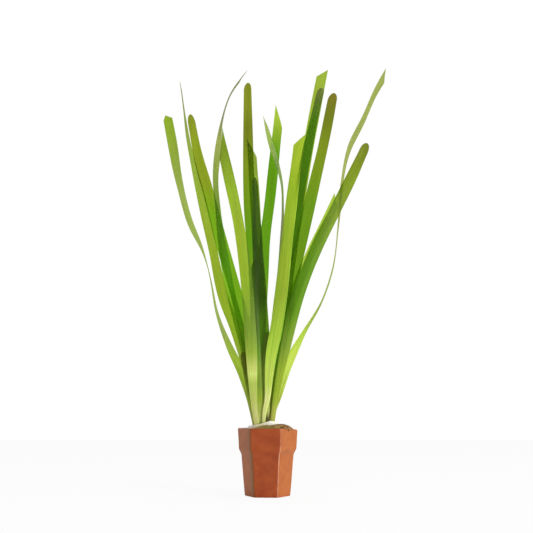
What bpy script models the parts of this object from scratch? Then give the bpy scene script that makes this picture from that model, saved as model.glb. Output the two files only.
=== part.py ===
# Potted tape grass: ribbon leaves on two short crowns, wrapped in foam and set in mineral wool
# in a small six-sided clay pot. Z is up, -Y is the front, and the pot stands on Z = 0.

import math

import bmesh
import bpy
import numpy as np

MM = 0.001

# Pot, driving dimensions
POT_HEIGHT = 55.0 * MM
RIM_RADIUS = 25.6 * MM          # centre to corner of the hexagon at the rim
COLLAR_FOOT_RADIUS = 24.6 * MM
BODY_TOP_RADIUS = 22.4 * MM
BODY_FOOT_RADIUS = 19.7 * MM
COLLAR_HEIGHT = 17.3 * MM
COLLAR_SLOPE = 4.0 * MM         # height of the sloping step under the collar
CORNER_ROUND = 2.4 * MM
INNER_ROUND = 1.5 * MM
EDGE_SOFT = 1.2 * MM            # how far the rim and the foot are eased over
WALL = 3.0 * MM
FLOOR = 4.2 * MM
POT_TURN = math.radians(-3.8)   # the front face looks a little to the left
CORNER_POINTS = 5               # points in each corner's arc

# Fit between pieces that touch
GAP = 0.3 * MM

# Growing medium
BUNDLE_X = -3.7 * MM            # middle of the leaf bundle, left of the pot's axis
POCKET = (12.9 * MM, 12.5 * MM)  # half sizes of the hollow that holds the wrap, at the rim
POCKET_FLOOR = 43.0 * MM
POCKET_TAPER = 0.9              # size of the hollow at its floor, as a share of its mouth
POCKET_BULGE = 2.7              # 2 is an ellipse, and more squares its shoulders
WRAP_WALL = 1.5 * MM
WRAP_LOW = 57.2 * MM            # top of the wrap at its left end
WRAP_HIGH = 60.6 * MM           # and towards its right end
WOOL_RISE = 3.6 * MM            # how far the wool stands above its own left side on the right
WOOL_EDGE_DROP = 2.2 * MM       # how far below the rim the wool meets the pot's wall

# Crowns
CROWN_TOP = 51.6 * MM
CROWN_HALF = (4.4 * MM, 8.0 * MM)
CROWN_X = {"left": BUNDLE_X - 4.6 * MM, "right": BUNDLE_X + 4.6 * MM}

# Leaves
LEAF_THICK = 0.6 * MM
LEAF_BASE_WIDTH = 5.0 * MM
WIDEN_LENGTH = 80.0 * MM        # run over which a blade grows from its base to its full width
TAPER_SHARE = 0.28              # share of the run, at the tip, over which a blade narrows
LAYER_GAP = 1.6 * MM            # between neighbouring layers where they leave the crown
LAYER_SPREAD = 11.0 * MM        # added between layers at the height of the tallest tip
SPREAD_POWER = 1.35             # above 1 the layers part faster towards the tips
MIDDLE_LAYER = 4.5
ROW_LENGTH = 16.0 * MM          # length of one facet along a blade
ROWS = (8, 20)                  # fewest and most facets along a blade
TIP_SHARPNESS = 8               # how near the end the shape of the tip begins

# The leaves' stations are measured on the upright plane through the pot's axis, as seen from
# this point in front. Each leaf then keeps its outline from there at its own depth.
SEEN_FROM = (-0.8 * MM, -648.0 * MM, 67.4 * MM)
LEAF_FOOT = 52.5 * MM           # height where the blades leave the crowns
TALLEST = 382.5 * MM            # height of the tallest tip

# Each leaf: the x of its root in mm, its layer from front (0) to back (9), and its stations
# from there to the tip as (x in mm, height in mm, turn of the blade in degrees). A round tip
# gives its length, and a taper how much narrower the blade gets towards it. A cut tip gives the
# apex's place across the blade, from -1 at the left edge to 1, and each corner's drop below it.
# A leaf may give its own base width and the run over which it widens.
LEAVES = {
    "leaf_front_left": dict(
        root=-8.4, layer=0, width=10.6 * MM, base=4.4 * MM, cut=dict(apex=1.0, left=26 * MM, right=0.0),
        stations=[(-11.2, 74, 0), (-12.6, 95, 2), (-13.5, 113, 6), (-15, 138, 10), (-19.3, 191, 16), (-25.7, 234, 22),
                  (-35.2, 279, 28), (-45.2, 323, 32)]),
    "leaf_front_right": dict(
        root=-3.2, layer=0, width=10.6 * MM, base=2.6 * MM, cut=dict(apex=1.0, left=9.5 * MM, right=0.0),
        stations=[(-2.8, 66, 0), (-0.1, 80, 0), (1.3, 98, 0), (3.4, 117, 0), (7.5, 138, -4), (12.7, 173, -10), (17.8, 220, -18),
                  (23.8, 271, -24), (29.8, 317, -26)]),
    "leaf_dark_short": dict(
        root=-5, layer=1, width=7.6 * MM, round=5.5 * MM,
        stations=[(-6.5, 82, 0), (-9, 116, 6), (-11, 151, 14), (-11, 177, 20), (-10, 199, 24)]),
    "leaf_short_right": dict(
        root=0.2, layer=1, width=5.0 * MM, base=3.0 * MM, round=3.6 * MM,
        stations=[(-0.7, 78, 0), (-1.8, 108, -12), (-0.3, 136, -22)]),
    "leaf_short_left": dict(
        root=-8.5, layer=2, width=5.8 * MM, round=4.0 * MM,
        stations=[(-13.5, 78, 0), (-17.5, 99, 10), (-21, 119, 20)]),
    "leaf_dark_middle": dict(
        root=-0.2, layer=2, width=9.2 * MM, base=4.4 * MM, round=9.0 * MM, taper=0.45,
        stations=[(-1.2, 91, 0), (-3, 136, 2), (-5.5, 173, 8), (-8.5, 209, 14), (-10, 244, 20),
                  (-11.5, 276, 24)]),
    "leaf_arched": dict(
        root=-8, layer=3, width=8.6 * MM, cut=dict(apex=-1.0, left=0.0, right=12 * MM),
        stations=[(-12.5, 87, 0), (-20, 125, 8), (-30.5, 164, 26), (-37.8, 200, 30),
                  (-44, 244, 54), (-46.8, 275, 62), (-44.6, 305, 58), (-41.3, 331, 84),
                  (-33.7, 356, 97), (-18.5, 379, 103)]),
    "leaf_right_olive": dict(
        root=3.0, layer=3, width=11.0 * MM, base=4.0 * MM, widen=110 * MM, round=7.5 * MM, taper=0.12,
        stations=[(6.8, 78, 0), (15.2, 121, 4), (27, 169, 12), (44.1, 212, 18), (60.6, 245, 22),
                  (77.4, 279, 26), (91, 308, 32)]),
    "leaf_left_olive": dict(
        root=-7, layer=4, width=11.0 * MM, round=9.0 * MM, taper=0.27,
        stations=[(-10.5, 85, 0), (-16.4, 125, 4), (-28.2, 173, 12), (-40.7, 216, 20),
                  (-53.5, 264, 25), (-62.1, 294, 28), (-70.6, 336, 34)]),
    "leaf_olive_tip": dict(
        root=2.5, layer=4, width=11.0 * MM, round=7.5 * MM, taper=0.13,
        stations=[(5, 87, 0), (11.2, 129, -2), (19.6, 173, -10), (29, 212, -17),
                  (40.9, 264, -23), (51.5, 309, -28), (61.1, 357, -32)]),
    "leaf_middle_olive": dict(
        root=-6.5, layer=5, width=10.6 * MM, round=7.0 * MM, taper=0.25,
        stations=[(-7, 95, 0), (-9, 147, -2), (-11.5, 194, -8), (-15.7, 244, -15),
                  (-17.2, 292, -21), (-17.8, 331, -25), (-18.3, 367, -28)]),
    "leaf_twisted": dict(
        root=0.5, layer=5, width=8.2 * MM, cut=dict(apex=-1.0, left=0.0, right=9 * MM),
        stations=[(2, 95, 0), (8, 151, 12), (12.8, 198, 42), (13.9, 244, 72), (12.7, 272, 70),
                  (8.5, 290, 60), (4.1, 305, 53), (-0.2, 322, 61), (-3.2, 334, 78)]),
    "leaf_bright_pointed": dict(
        root=-5.5, layer=6, width=9.6 * MM, cut=dict(apex=-1.0, left=0.0, right=21 * MM),
        stations=[(-7, 95, 0), (-6.1, 138, 2), (-4.1, 180, 8), (-1.9, 220, 14), (2.5, 256, 20),
                  (6.8, 298, 25), (11.8, 344, 28)]),
    "leaf_tall_dark": dict(
        root=2.5, layer=6, width=9.7 * MM, round=6.0 * MM, taper=0.2,
        stations=[(4.5, 87, 0), (10, 142, -2), (17, 198, -12), (27.5, 251, -20), (34.5, 292, -25),
                  (42.5, 331, -28), (49.7, 362, -30)]),
    "leaf_middle_behind": dict(
        root=-6, layer=7, width=9.2 * MM, cut=dict(apex=-1.0, left=0.0, right=18 * MM),
        stations=[(-5.5, 95, 0), (-6, 147, 4), (-8, 194, 12), (-10.5, 244, 19), (-12.6, 279, 23),
                  (-14.5, 312, 26)]),
    "leaf_right_behind": dict(
        root=2.2, layer=7, width=8.6 * MM, widen=140 * MM, cut=dict(apex=-1.0, left=0.0, right=11 * MM),
        stations=[(6.3, 82, 0), (13.2, 125, 0), (23.5, 168, 2), (37, 203, 6), (51.9, 234, 12),
                  (63.8, 259, 16)]),
    "leaf_left_needle": dict(
        root=-8, layer=8, width=9.2 * MM, widen=110 * MM, cut=dict(apex=-1.0, left=0.0, right=14 * MM),
        stations=[(-13, 87, 0), (-22.4, 121, 6), (-29, 142, 12), (-37.6, 164, 18), (-48.1, 209, 34),
                  (-57.3, 249, 38), (-64.5, 279, 50), (-72.1, 313, 74), (-75.7, 336, 88),
                  (-80.6, 367, 91)]),
    "leaf_far_right": dict(
        root=1.7, layer=8, width=9.0 * MM, cut=dict(apex=-1.0, left=0.0, right=10 * MM),
        stations=[(2.9, 63, 0), (9.2, 82, 0), (17.1, 107, 20), (30.7, 134, 65), (47, 162, 81),
                  (57.7, 193, 81), (63, 231, 79), (66.2, 264, 70), (73.9, 302, 65),
                  (88.3, 332, 62), (99.3, 357, 60), (111.2, 378, 60)]),
    "leaf_far_left": dict(
        root=-9.0, layer=9, width=9.8 * MM, cut=dict(apex=0.4, left=6.5 * MM, right=5 * MM),
        stations=[(-11.5, 65, 0), (-14.6, 79, 8), (-22.2, 102, 32), (-31.9, 122, 54),
                  (-43.2, 151, 76), (-50.4, 185, 90), (-57, 208, 102), (-68.7, 234, 121),
                  (-78.8, 270, 136), (-87.3, 313, 152), (-92, 336, 156)]),
    "leaf_tall_cut": dict(
        root=0.8, layer=9, width=10.8 * MM, cut=dict(apex=1.0, left=14.5 * MM, right=0.0),
        stations=[(4.2, 91, 0), (10.5, 134, 4), (18.5, 191, 12), (27, 245, 19), (35.2, 294, 24),
                  (43.8, 340, 27), (52, 382.5, 29)]),
}

# Colours
CLAY = (0.40, 0.10, 0.035)
WOOL = (0.30, 0.24, 0.07)
FOAM = (0.62, 0.60, 0.48)
CROWN = (0.62, 0.62, 0.36)
LEAF = (0.25, 0.42, 0.03)


def material(name, colour, roughness):
    """A plain finish of one colour."""
    made = bpy.data.materials.new(name)
    made.use_nodes = True
    shader = made.node_tree.nodes["Principled BSDF"]
    shader.inputs["Base Color"].default_value = (*colour, 1.0)
    shader.inputs["Roughness"].default_value = roughness
    shader.inputs["Metallic"].default_value = 0.0
    return made


def add_object(name, points, faces, finish, smooth_angle=35.0):
    """A named object from points and faces, with its normals facing out."""
    mesh = bpy.data.meshes.new(name)
    mesh.from_pydata([tuple(p) for p in points], [], faces)
    solid = bmesh.new()
    solid.from_mesh(mesh)
    bmesh.ops.recalc_face_normals(solid, faces=solid.faces)
    solid.to_mesh(mesh)
    solid.free()
    mesh.shade_smooth()
    mesh.set_sharp_from_angle(angle=math.radians(smooth_angle))
    mesh.materials.append(finish)
    placed = bpy.data.objects.new(name, mesh)
    bpy.context.scene.collection.objects.link(placed)
    return placed


def loft(rings, close_loop=False, cap_first=False, cap_last=False):
    """Faces that join rings of equally many points, one ring after the other."""
    count = len(rings[0])
    pairs = list(zip(range(len(rings) - 1), range(1, len(rings))))
    if close_loop:
        pairs.append((len(rings) - 1, 0))
    faces = []
    for low, high in pairs:
        for i in range(count):
            j = (i + 1) % count
            faces.append((low * count + i, low * count + j, high * count + j, high * count + i))
    if cap_first:
        faces.append(tuple(range(count)))
    if cap_last:
        faces.append(tuple(range((len(rings) - 1) * count, len(rings) * count)))
    return np.concatenate(rings), faces


def hexagon(radius, height, corner=CORNER_ROUND):
    """A ring of points round a hexagon of this corner radius, with its corners as arcs."""
    points = []
    middle = radius - corner / math.sin(math.radians(60))
    for k in range(6):
        towards = POT_TURN + math.radians(60 * k)
        for swing in np.linspace(-30, 30, CORNER_POINTS):
            angle = towards + math.radians(swing)
            points.append((middle * math.cos(towards) + corner * math.cos(angle),
                           middle * math.sin(towards) + corner * math.sin(angle), height))
    return np.array(points)


def circle(radius, height):
    """A round ring with as many points as a hexagon ring, evenly spaced from the same corner."""
    count = 6 * CORNER_POINTS
    angle = POT_TURN + 2 * math.pi * (np.arange(count) - (CORNER_POINTS - 1) / 2) / count
    return np.column_stack([radius * np.cos(angle), radius * np.sin(angle), np.full(count, height)])


def superoval(half, height, share=1.0):
    """A ring round an oval with squared shoulders, about the middle of the leaf bundle."""
    ring = circle(1.0, 0.0)
    power = 2.0 / POCKET_BULGE
    x = BUNDLE_X + half[0] * share * np.sign(ring[:, 0]) * np.abs(ring[:, 0]) ** power
    y = half[1] * share * np.sign(ring[:, 1]) * np.abs(ring[:, 1]) ** power
    return np.column_stack([x, y, np.broadcast_to(height, x.shape)])


def inner_radius(height):
    """Corner radius of the pot's hollow at a height: one straight taper, floor to rim."""
    wall = WALL / math.cos(math.radians(30))
    low, high = BODY_FOOT_RADIUS - wall, RIM_RADIUS - wall
    return low + (high - low) * (height - FLOOR) / (POT_HEIGHT - FLOOR)


def smoothstep(value):
    """0 below 0, 1 above 1, and a smooth rise between."""
    t = np.clip(value, 0.0, 1.0)
    return t * t * (3.0 - 2.0 * t)


def build_pot(finish):
    """The clay pot: foot, tapered body, sloping step, collar, rim and hollow."""
    collar_foot = POT_HEIGHT - COLLAR_HEIGHT
    body_top = collar_foot - COLLAR_SLOPE
    soft = EDGE_SOFT
    rings = [
        hexagon(BODY_FOOT_RADIUS - 1.3 * soft, 0.0),
        hexagon(BODY_FOOT_RADIUS - 0.4 * soft, 0.4 * soft),
        hexagon(BODY_FOOT_RADIUS, 1.5 * soft),
        hexagon(BODY_TOP_RADIUS - 0.1 * MM, body_top - 1.0 * MM),
        hexagon(BODY_TOP_RADIUS + 0.2 * MM, body_top + 0.4 * MM),
        hexagon(COLLAR_FOOT_RADIUS - 0.5 * MM, collar_foot - 0.9 * MM),
        hexagon(COLLAR_FOOT_RADIUS, collar_foot + 0.5 * MM),
        hexagon(RIM_RADIUS, POT_HEIGHT - soft),
        hexagon(RIM_RADIUS - 0.3 * soft, POT_HEIGHT - 0.3 * soft),
        hexagon(RIM_RADIUS - soft, POT_HEIGHT),
        hexagon(inner_radius(POT_HEIGHT) + 0.5 * soft, POT_HEIGHT, INNER_ROUND),
        hexagon(inner_radius(POT_HEIGHT), POT_HEIGHT - 0.5 * soft, INNER_ROUND),
        hexagon(inner_radius(FLOOR), FLOOR, INNER_ROUND),
    ]
    points, faces = loft(rings, cap_first=True, cap_last=True)
    return add_object("pot", points, faces, finish)


def wool_top(x, y):
    """Height of the wool's top: level with the rim on the left, standing proud on the right."""
    right = smoothstep((x + 15 * MM) / (15.5 * MM)) * (1 - smoothstep((x - 9 * MM) / (18 * MM)))
    lumps = 0.35 * MM * np.sin(x / (2.9 * MM) + 0.6) * np.cos(y / (3.7 * MM))
    back = 1.0 - 0.35 * smoothstep((y + 4 * MM) / (16 * MM))
    return POT_HEIGHT - 0.7 * MM + WOOL_RISE * right * back + lumps


def build_wool(finish):
    """Mineral wool that fills the pot, with a lumpy top and a hollow for the wrap."""
    foot = FLOOR + GAP
    edge_height = POT_HEIGHT - WOOL_EDGE_DROP
    middle_height = 0.5 * (foot + edge_height)
    shrink = GAP / math.cos(math.radians(30)) + 0.1 * MM
    outer = hexagon(inner_radius(edge_height) - shrink, edge_height, INNER_ROUND)
    pocket = superoval(POCKET, 0.0)
    rings = [
        hexagon(inner_radius(foot) - shrink, foot, INNER_ROUND),
        hexagon(inner_radius(middle_height) - shrink, middle_height, INNER_ROUND),
        outer,
    ]
    for share, rise in ((0.04, 0.62), (0.25, 1.0), (0.6, 1.0), (1.0, 1.0)):
        ring = outer + (pocket - outer) * share
        ring[:, 2] = edge_height + (wool_top(ring[:, 0], ring[:, 1]) - edge_height) * rise
        rings.append(ring)
    rings.append(superoval(POCKET, POCKET_FLOOR, POCKET_TAPER))
    points, faces = loft(rings, cap_first=True, cap_last=True)
    return add_object("wool_plug", points, faces, finish)


def wrap_top(x, y):
    """Height of the wrap's top edge, which climbs from left to right."""
    climb = smoothstep((x - BUNDLE_X + 10 * MM) / (16 * MM))
    waves = 0.25 * MM * np.sin(x / (2.2 * MM)) + 0.2 * MM * np.cos(y / (2.6 * MM))
    return WRAP_LOW + (WRAP_HIGH - WRAP_LOW) * climb + waves


def build_wrap(finish):
    """The foam strip wound round the crowns and the leaf bases, as a ring with a soft top."""
    outer = (POCKET[0] - GAP, POCKET[1] - GAP)
    inner = (outer[0] - WRAP_WALL, outer[1] - WRAP_WALL)
    middle = (outer[0] - 0.5 * WRAP_WALL, outer[1] - 0.5 * WRAP_WALL)
    foot = POCKET_FLOOR + GAP
    shoulder = 0.6 * MM

    def rim(half, drop):
        ring = superoval(half, 0.0)
        ring[:, 2] = wrap_top(ring[:, 0], ring[:, 1]) - drop
        return ring

    rings = [
        superoval(outer, foot, POCKET_TAPER),
        rim(outer, 1.6 * MM),
        rim((outer[0] - shoulder, outer[1] - shoulder), 0.3 * MM),
        rim(middle, 0.0),
        rim((inner[0] + shoulder, inner[1] + shoulder), 0.3 * MM),
        rim(inner, 1.6 * MM),
        superoval(inner, foot, POCKET_TAPER),
    ]
    points, faces = loft(rings, close_loop=True)
    return add_object("foam_wrap", points, faces, finish, smooth_angle=60.0)


def build_crown(side, finish):
    """A short stem that the leaves of one plant grow from: a rounded block, flat on top."""
    foot = POCKET_FLOOR + GAP
    rings = []
    for share, height in ((0.6, foot), (0.85, foot + 1.6 * MM),
                          (1.0, CROWN_TOP - 3.0 * MM), (0.96, CROWN_TOP - 0.7 * MM),
                          (0.82, CROWN_TOP)):
        ring = circle(1.0, height)
        ring[:, 0] = CROWN_X[side] + ring[:, 0] * CROWN_HALF[0] * share
        ring[:, 1] = ring[:, 1] * CROWN_HALF[1] * share
        rings.append(ring)
    points, faces = loft(rings, cap_first=True, cap_last=True)
    return add_object("crown_" + side, points, faces, finish)


def carry_to_depth(x, z, depth):
    """Points at this depth that cover the given points of the front plane, as seen from in front."""
    reach = (depth - SEEN_FROM[1]) / -SEEN_FROM[1]
    return np.column_stack([SEEN_FROM[0] + (x - SEEN_FROM[0]) * reach, depth,
                            SEEN_FROM[2] + (z - SEEN_FROM[2]) * reach])


def smooth_through(rows, count):
    """Evenly spaced samples of a smooth curve through rows of numbers, by cubic pieces whose
    slopes are the rows' own finite differences. The first two columns set the spacing."""
    rows = np.array(rows, float)
    steps = np.hypot(*np.diff(rows[:, :2], axis=0).T)
    along = np.concatenate([[0.0], np.cumsum(steps)])
    slopes = np.gradient(rows, along, axis=0)
    at = np.linspace(0.0, along[-1], count)
    i = np.clip(np.searchsorted(along, at, side="right") - 1, 0, len(rows) - 2)
    length = (along[i + 1] - along[i])[:, None]
    t = ((at - along[i])[:, None]) / length
    return (rows[i] * (1 + 2 * t) * (1 - t) ** 2 + slopes[i] * length * t * (1 - t) ** 2
            + rows[i + 1] * t * t * (3 - 2 * t) + slopes[i + 1] * length * t * t * (t - 1))


def unit(vectors):
    """Rows scaled to length one."""
    return vectors / np.linalg.norm(vectors, axis=1, keepdims=True)


def tip_drop(leaf, across):
    """How far the leaf's end lies below its apex, at each place across the blade."""
    if "round" in leaf:
        return leaf["round"] * (1 - np.sqrt(np.clip(1 - across ** 2, 0, 1)))
    cut = leaf["cut"]
    left = cut["left"] * np.clip((cut["apex"] - across) / (1 + cut["apex"] + 1e-9), 0, 1)
    right = cut["right"] * np.clip((across - cut["apex"]) / (1 - cut["apex"] + 1e-9), 0, 1)
    return left + right


def leaf_frame(leaf, count=240):
    """Centre line of a leaf, the direction across its blade, its width and its run, base to tip."""
    path = smooth_through([(leaf["root"], LEAF_FOOT / MM, 0)] + leaf["stations"], count)
    x, z = path[:, 0] * MM, path[:, 1] * MM
    share = np.clip((z - LEAF_FOOT) / (TALLEST - LEAF_FOOT), 0, 1)
    depth = (leaf["layer"] - MIDDLE_LAYER) * (LAYER_GAP + LAYER_SPREAD * share ** SPREAD_POWER)
    centre = carry_to_depth(x, z, depth)
    along = unit(np.gradient(centre, axis=0))
    side = unit(np.cross((0.0, 1.0, 0.0), along))
    front = np.cross(along, side)
    turn = np.radians(path[:, 2])[:, None]
    blade = np.cos(turn) * side + np.sin(turn) * front
    run = np.concatenate([[0.0], np.cumsum(np.linalg.norm(np.diff(centre, axis=0), axis=1))])
    base = leaf.get("base", min(LEAF_BASE_WIDTH, leaf["width"]))
    width = base + (leaf["width"] - base) * smoothstep(run / leaf.get("widen", WIDEN_LENGTH))
    near_tip = smoothstep((run / run[-1] - 1 + TAPER_SHARE) / TAPER_SHARE)
    width = width * (1 - leaf.get("taper", 0.0) * near_tip)
    width = width * (depth - SEEN_FROM[1]) / -SEEN_FROM[1]
    return centre, blade, width, run


def build_leaf(name, leaf, finish):
    """One ribbon leaf, a thin solid that follows its stations and ends in its own tip."""
    centre, blade, width, run = leaf_frame(leaf)
    if "round" in leaf:
        across = np.array([-1.0, -0.72, 0.0, 0.72, 1.0])
    else:
        across = np.unique([-1.0, 0.0, leaf["cut"]["apex"], 1.0])
    rows = int(np.clip(round(run[-1] / ROW_LENGTH), *ROWS))
    t = np.linspace(0.0, 1.0, rows + 1)[:, None]
    reach = t * run[-1] - tip_drop(leaf, across)[None, :] * t ** TIP_SHARPNESS
    points = np.zeros((rows + 1, len(across), 3))
    half = np.interp(reach, run, width / 2) * across[None, :]
    for axis in range(3):
        points[..., axis] = (np.interp(reach, run, centre[:, axis])
                             + np.interp(reach, run, blade[:, axis]) * half)
    columns = len(across)
    faces = [(r * columns + c, r * columns + c + 1, (r + 1) * columns + c + 1, (r + 1) * columns + c)
             for r in range(rows) for c in range(columns - 1)]
    placed = add_object(name, points.reshape(-1, 3), faces, finish)
    solidify = placed.modifiers.new("thickness", "SOLIDIFY")
    solidify.thickness = LEAF_THICK
    solidify.offset = 0.0
    return placed


def main():
    for old in list(bpy.data.objects):
        bpy.data.objects.remove(old)
    clay = material("clay", CLAY, 0.45)
    wool = material("wool", WOOL, 0.95)
    foam = material("foam", FOAM, 0.9)
    crown = material("crown", CROWN, 0.5)
    green = material("leaf", LEAF, 0.4)
    build_pot(clay)
    build_wool(wool)
    build_wrap(foam)
    for side in CROWN_X:
        build_crown(side, crown)
    for name, leaf in LEAVES.items():
        build_leaf(name, leaf, green)


main()
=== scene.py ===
# Potted tape grass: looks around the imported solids. Metres, +Z up, -Y to the front.

import math

import bpy
import bmesh
import numpy as np
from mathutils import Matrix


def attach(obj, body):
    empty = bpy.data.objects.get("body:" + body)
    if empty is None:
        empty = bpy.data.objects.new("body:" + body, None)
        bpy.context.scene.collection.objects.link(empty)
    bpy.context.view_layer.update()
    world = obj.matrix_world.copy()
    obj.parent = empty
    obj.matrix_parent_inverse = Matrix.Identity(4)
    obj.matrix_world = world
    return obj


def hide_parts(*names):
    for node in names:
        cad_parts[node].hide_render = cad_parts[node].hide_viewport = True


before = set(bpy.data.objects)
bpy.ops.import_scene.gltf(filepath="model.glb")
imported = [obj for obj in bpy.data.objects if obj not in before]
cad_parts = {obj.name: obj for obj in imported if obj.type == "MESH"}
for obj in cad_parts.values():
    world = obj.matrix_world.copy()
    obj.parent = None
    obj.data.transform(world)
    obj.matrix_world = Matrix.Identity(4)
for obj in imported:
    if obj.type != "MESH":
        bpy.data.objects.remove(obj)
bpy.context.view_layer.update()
mm = 0.001
thirty, sixty = math.radians(30), math.radians(60)
print("frame loaded:", len(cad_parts), "nodes")


# Small helpers for arrays, meshes and node trees

class Look(dict):
    # a dictionary whose values are also read as look.name
    __getattr__ = dict.__getitem__


def smoothstep(value):
    # 0 below 0, 1 above 1, 3t^2 - 2t^3 between
    t = np.clip(value, 0.0, 1.0)
    return t * t * (3.0 - 2.0 * t)


def unit(vectors):
    # each vector divided by its own length
    return vectors / np.linalg.norm(vectors, axis=-1, keepdims=True)


def fromScreen(colour):
    # screen colour 0 to 255 to linear light: ((c + 0.055) / 1.055) ^ 2.4, or c / 12.92 where dark
    c = np.asarray(colour, float) / 255.0
    return np.where(c <= 0.04045, c / 12.92, ((c + 0.055) / 1.055) ** 2.4)


def waves(points, size, count, seed):
    # smooth bumps from -1 to 1: the mean of sines along random directions, at lengths near size
    dice = np.random.default_rng(seed)
    turns = unit(dice.normal(size=(count, 3)))
    pitch = 2 * np.pi / (size * dice.uniform(0.7, 1.5, count))
    phase = dice.uniform(0, 2 * np.pi, count)
    total = np.sin(points @ (turns * pitch[:, None]).T + phase).sum(axis=-1)
    return total / math.sqrt(count)


def gridFaces(rows, columns, closeRows=False, closeColumns=False):
    # quads between neighbouring grid points, joined back to the start where a direction closes
    r = np.arange(rows if closeRows else rows - 1)
    c = np.arange(columns if closeColumns else columns - 1)
    r, c = (m.ravel() for m in np.meshgrid(r, c, indexing="ij"))
    r2, c2 = (r + 1) % rows, (c + 1) % columns
    return np.column_stack([r * columns + c, r * columns + c2, r2 * columns + c2, r2 * columns + c])


def cappedFaces(grid):
    # faces of a grid of closed rings, with a lid on the first ring and on the last
    rows, ring = grid.shape[:2]
    return gridFaces(rows, ring, closeColumns=True).tolist() + [
        list(range(ring)), list(range((rows - 1) * ring, rows * ring))]


def makePiece(name, points, faces, finish, replaced, uv=None, colours=None):
    # numpy points and faces to a closed, smooth mesh whose faces point out, riding on the one body
    mesh = bpy.data.meshes.new(name)
    mesh.from_pydata(points.reshape(-1, 3).tolist(), [], faces if isinstance(faces, list) else faces.tolist())
    if uv is not None:
        corner = np.empty(len(mesh.loops), np.int32)
        mesh.loops.foreach_get("vertex_index", corner)
        mesh.uv_layers.new(name="blade").data.foreach_set("uv", uv.reshape(-1, 2)[corner].ravel())
    if colours is not None:
        layer = mesh.color_attributes.new("skin", "FLOAT_COLOR", "POINT")
        layer.data.foreach_set("color", colours.reshape(-1, 4).ravel())
    solid = bmesh.new()
    solid.from_mesh(mesh)
    bmesh.ops.remove_doubles(solid, verts=solid.verts, dist=1e-7)
    bmesh.ops.recalc_face_normals(solid, faces=solid.faces)
    solid.to_mesh(mesh)
    solid.free()
    mesh.shade_smooth()
    mesh.materials.append(finish)
    piece = bpy.data.objects.new(name, mesh)
    bpy.context.scene.collection.objects.link(piece)
    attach(piece, "root")
    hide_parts(*replaced)
    return piece


def put(tree, kind, sockets=None, **settings):
    # a new node; sockets holds plain values or the outputs to join
    made = tree.nodes.new(kind)
    for key, value in settings.items():
        setattr(made, key, value)
    for key, value in (sockets or {}).items():
        if isinstance(value, bpy.types.NodeSocket):
            tree.links.new(value, made.inputs[key])
        else:
            made.inputs[key].default_value = value
    return made


def finished(name, paint, look):
    # a material whose surface is what paint builds in its node tree
    finish = bpy.data.materials.new(name)
    finish.use_nodes = True
    tree = finish.node_tree
    tree.nodes.clear()
    put(tree, "ShaderNodeOutputMaterial", {"Surface": paint(tree, look)})
    return finish


def maths(tree, operation, first, second=0.5):
    # one Math node's result
    return put(tree, "ShaderNodeMath", {0: first, 1: second}, operation=operation).outputs[0]


def times(tree, first, second):
    # a product
    return maths(tree, "MULTIPLY", first, second)


def ramp(tree, value, low, high, start=0.0, end=1.0):
    # value between low and high, carried to start and end
    return put(tree, "ShaderNodeMapRange",
               {"Value": value, "From Min": low, "From Max": high, "To Min": start, "To Max": end}).outputs[0]


def noise(tree, vector, scale, detail=2.0, roughness=0.5):
    # a Noise Texture's grey value
    return put(tree, "ShaderNodeTexNoise", {"Vector": vector, "Scale": scale, "Detail": detail,
                                            "Roughness": roughness}).outputs[0]


def mixColour(tree, factor, first, second, blend="MIX"):
    # two colours blended
    return put(tree, "ShaderNodeMix", {0: factor, 6: first, 7: second},
               data_type="RGBA", blend_type=blend).outputs[2]


def layered(tree, colour, *coats):
    # a colour under coats of (value, coat): a coat is a tint, the values where it begins and ends, and its
    # shares there unless they are 0 and 1
    for value, (tint, *span) in coats:
        colour = mixColour(tree, ramp(tree, value, *span), colour, tint)
    return colour


def objectPlace(tree):
    # object coordinates
    return put(tree, "ShaderNodeTexCoord").outputs["Object"]


def axesOf(tree, vector):
    # the X, Y and Z of a vector
    return put(tree, "ShaderNodeSeparateXYZ", {0: vector}).outputs


def stretch(tree, vector, scale, turn=(0, 0, 0), shift=(0, 0, 0)):
    # a vector scaled, turned and shifted
    return put(tree, "ShaderNodeMapping", {"Vector": vector, "Scale": scale, "Rotation": turn,
                                           "Location": shift}).outputs[0]


def bumps(tree, height, strength, distance):
    # a surface direction from a height pattern
    return put(tree, "ShaderNodeBump", {"Height": height, "Strength": strength,
                                        "Distance": distance}).outputs[0]


def satin(tree, **sockets):
    # a Principled shader with named sockets, underscores for spaces
    return put(tree, "ShaderNodeBsdfPrincipled",
               {key.replace("_", " "): value for key, value in sockets.items()}).outputs[0]


# Camera at the photograph's viewpoint, a little over the rim and tipped up

view = Look(eye=(-0.8 * mm, -648.0 * mm, 67.4 * mm), tiltUp=11.05, lens=50.66, sensor=36.0, near=0.01)

camera = bpy.data.objects.new("camera", bpy.data.cameras.new("camera"))
camera.location = view.eye
camera.rotation_euler = (math.radians(90 + view.tiltUp), 0, 0)
camera.data.lens = view.lens
camera.data.sensor_width = view.sensor
camera.data.clip_start = view.near
bpy.context.scene.collection.objects.link(camera)
bpy.context.scene.camera = camera
print("camera placed")


# Studio with white surroundings, a pale floor and soft lamps

studio = Look(surround=1.0, darkSurround=0.38, darkUntil=-0.5, brightFrom=0.35, brightTurn=thirty,
              floorSize=2.6, floorWhite=0.8, floorShown=0.10,
              lamps=dict(rightKey=dict(at=(1.0, -0.84, 0.30), size=0.42, power=11.5),
                         topFill=dict(at=(-0.2, -0.6, 1.3), size=0.9, power=3.0)),
              lampTarget=(0, 0, 0.12),
              faceCrossings=40)   # more than the fourteen faces of seven leaves behind each other


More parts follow.
